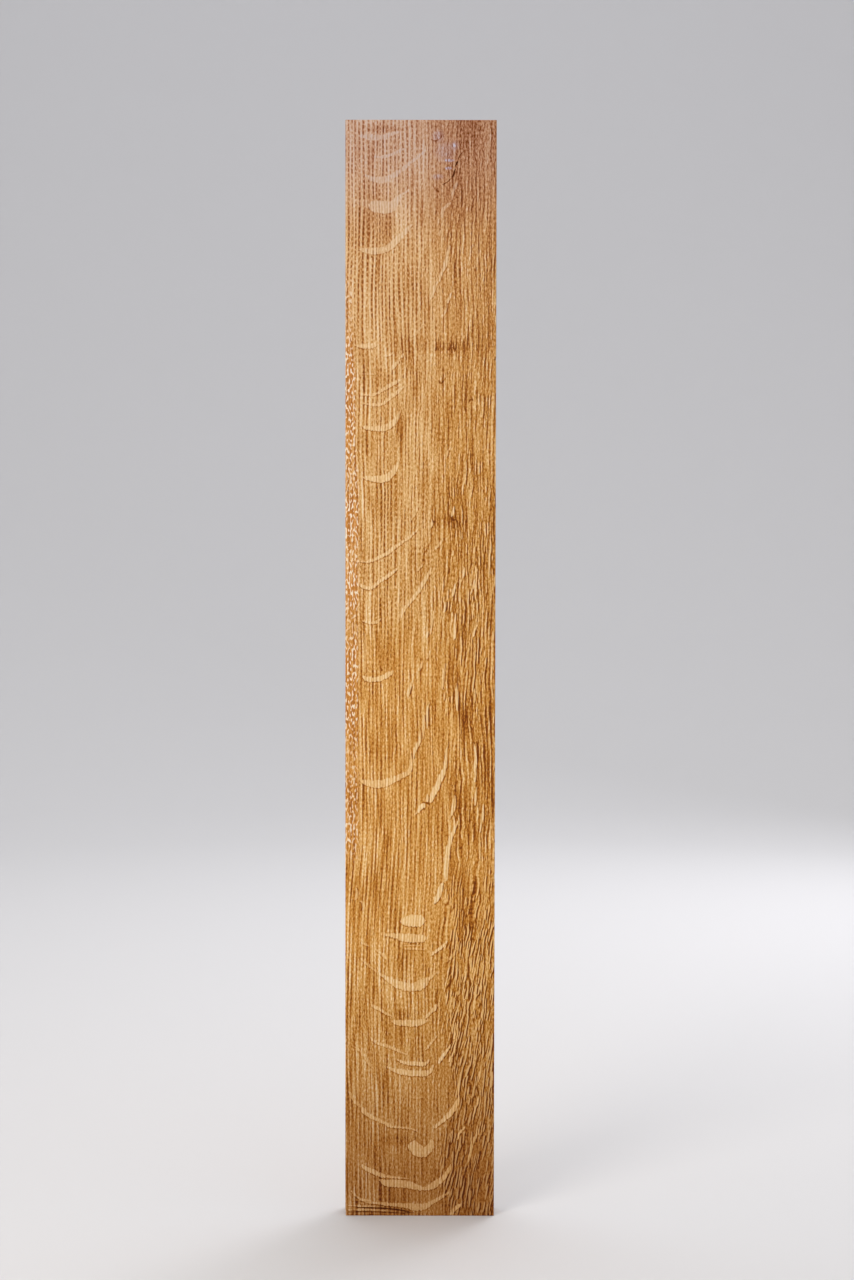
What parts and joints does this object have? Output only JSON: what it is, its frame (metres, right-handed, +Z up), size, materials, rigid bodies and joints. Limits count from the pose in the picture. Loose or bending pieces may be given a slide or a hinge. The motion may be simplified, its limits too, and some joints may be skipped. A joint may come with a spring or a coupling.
{
  "type": "quarter-sawn oak board",
  "caption": "Straight rectangular oak board with square-sawn ends, eased arrises and ray-fleck figure on its wide faces.",
  "frame": {"origin": "middle of the foot, the lower sawn end that the board stands on", "axes": "+Z up along the grain and the length, +X across the figured face to the right as seen from the front, +Y through the thickness from the figured front face to the back"},
  "size_m": [0.125, 0.02, 0.9144],
  "materials": {
    "planed_oak": "planed and lightly sanded bare quarter-sawn oak, warm tan with pale ray flecks"
  },
  "bodies": {
    "root": {"oak_board": "planed_oak"}
  },
  "joints": []
}
